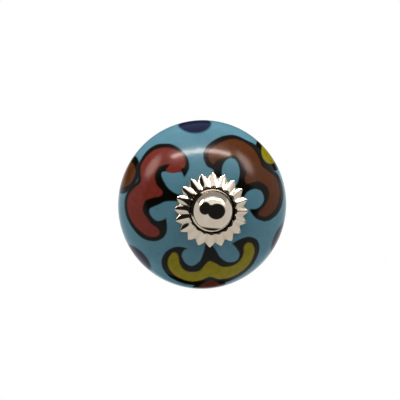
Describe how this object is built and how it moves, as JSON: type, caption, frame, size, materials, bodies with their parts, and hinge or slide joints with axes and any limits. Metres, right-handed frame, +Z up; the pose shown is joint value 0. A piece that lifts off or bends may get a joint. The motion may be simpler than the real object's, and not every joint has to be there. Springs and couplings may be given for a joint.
{
  "type": "cabinet knob",
  "caption": "Round glazed ceramic pull with a pleated metal flower washer and a domed bolt that passes through a door to a washer and nut.",
  "frame": {"origin": "centre of the foot's flat face, on the face of the door", "axes": "+Y along the bolt into the door, -Y towards the front of the knob, +Z up on an upright door"},
  "size_m": [0.04, 0.0645, 0.04],
  "materials": {
    "painted_glaze": "hand painted under a clear gloss glaze",
    "nickel_plate": "bright nickel plate",
    "zinc_plate": "zinc plate"
  },
  "bodies": {
    "root": {"glazed_body": "painted_glaze", "flower_washer": "nickel_plate", "dome_bolt": "nickel_plate", "flat_washer": "zinc_plate", "hex_nut": "zinc_plate"}
  },
  "joints": []
}
